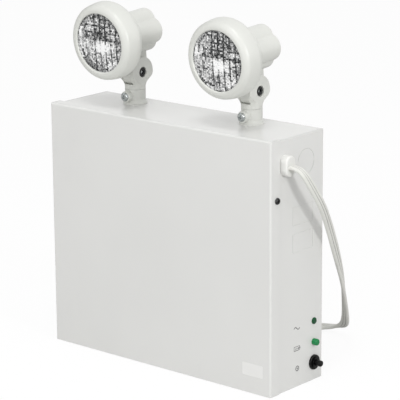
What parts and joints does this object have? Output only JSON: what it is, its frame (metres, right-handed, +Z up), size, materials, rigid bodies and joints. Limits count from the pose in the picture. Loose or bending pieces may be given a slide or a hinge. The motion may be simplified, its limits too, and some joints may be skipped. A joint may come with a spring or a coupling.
{
  "type": "emergency light unit",
  "caption": "Steel cabinet emergency light with a charger and battery inside, swivelling lamp heads on top, a test switch and a mains cord.",
  "frame": {"origin": "centre of the cabinet's base, on the surface that it stands on", "axes": "+Z up, +X to the right as seen from the front, +Y to the back; the lamps look along -Y"},
  "size_m": [0.3429, 0.2427, 0.3939],
  "materials": {
    "cabinet_paint": "satin off-white paint",
    "black_screw": "black",
    "white_nylon": "matt white",
    "cord_white": "matt white",
    "green_dark": "clear dark green",
    "green_bright": "clear green",
    "spring_steel": "plain",
    "black_plastic": "matt black",
    "head_plastic": "satin warm white",
    "zinc_steel": "zinc plated",
    "clear_lens": "clear, fluted",
    "bright_dish": "bright",
    "bulb_glass": "clear",
    "brown_phenolic": "matt brown",
    "battery_case": "matt dark grey",
    "tinned_brass": "plain",
    "board_green": "solder mask",
    "relay_case": "blue",
    "core_steel": "laminated",
    "copper_coil": "taped winding",
    "lead_insulation": "matt"
  },
  "bodies": {
    "cabinet": {"body_pan": "cabinet_paint", "front_cover": "cabinet_paint", "cover_screws": "black_screw", "cord_bushing": "white_nylon", "ac_lamp": "green_dark", "charge_lamp": "green_bright", "lamp_clips": "spring_steel", "switch_body": "black_plastic", "switch_nut": "black_plastic", "battery": "battery_case", "battery_terminals": "tinned_brass", "battery_strap": "zinc_steel", "circuit_board": "board_green", "board_standoffs": "tinned_brass", "relay": "relay_case", "terminal_block": "white_nylon", "capacitor": "black_plastic", "transformer_core": "core_steel", "transformer_coil": "copper_coil", "battery_leads": "lead_insulation", "mains_lead": "cord_white", "power_cord": "cord_white", "cord_coil": "cord_white", "cord_ties": "white_nylon", "cord_tail": "cord_white", "plug_body": "cord_white", "plug_blades": "tinned_brass", "left_head_lead": "lead_insulation", "left_head_post": "head_plastic", "left_post_locknut": "black_plastic", "left_set_screw": "zinc_steel", "right_head_lead": "lead_insulation", "right_head_post": "head_plastic", "right_post_locknut": "black_plastic", "right_set_screw": "zinc_steel"},
    "button": {"test_button": "black_plastic"},
    "left_fork": {"left_swivel": "head_plastic", "left_pivot_bolt": "black_screw", "left_pivot_nut": "black_screw"},
    "left_lamp": {"left_rear_housing": "head_plastic", "left_bezel": "head_plastic", "left_lens": "clear_lens", "left_reflector": "bright_dish", "left_lamp_bulb": "bulb_glass", "left_lamp_socket": "brown_phenolic"},
    "right_fork": {"right_swivel": "head_plastic", "right_pivot_bolt": "black_screw", "right_pivot_nut": "black_screw"},
    "right_lamp": {"right_rear_housing": "head_plastic", "right_bezel": "head_plastic", "right_lens": "clear_lens", "right_reflector": "bright_dish", "right_lamp_bulb": "bulb_glass", "right_lamp_socket": "brown_phenolic"}
  },
  "joints": [
    {"name": "left_pan", "type": "hinge", "parent": "cabinet", "child": "left_fork", "pos_m": [-0.086, 0.0175, 0.284], "axis": [0, 0, 1], "range_deg": [-170, 170]},
    {"name": "left_tilt", "type": "hinge", "parent": "left_fork", "child": "left_lamp", "pos_m": [-0.086, 0.0175, 0.3104], "axis": [1, 0, 0], "range_deg": [-80, 36]},
    {"name": "right_pan", "type": "hinge", "parent": "cabinet", "child": "right_fork", "pos_m": [0.08, 0.0175, 0.284], "axis": [0, 0, 1], "range_deg": [-170, 170]},
    {"name": "right_tilt", "type": "hinge", "parent": "right_fork", "child": "right_lamp", "pos_m": [0.08, 0.0175, 0.3104], "axis": [1, 0, 0], "range_deg": [-80, 36]},
    {"name": "test_press", "type": "slide", "parent": "cabinet", "child": "button", "axis": [-1, 0, 0], "range_m": [0, 0.003], "stiffness_N_per_m": 400, "springref_m": -0.002}
  ]
}
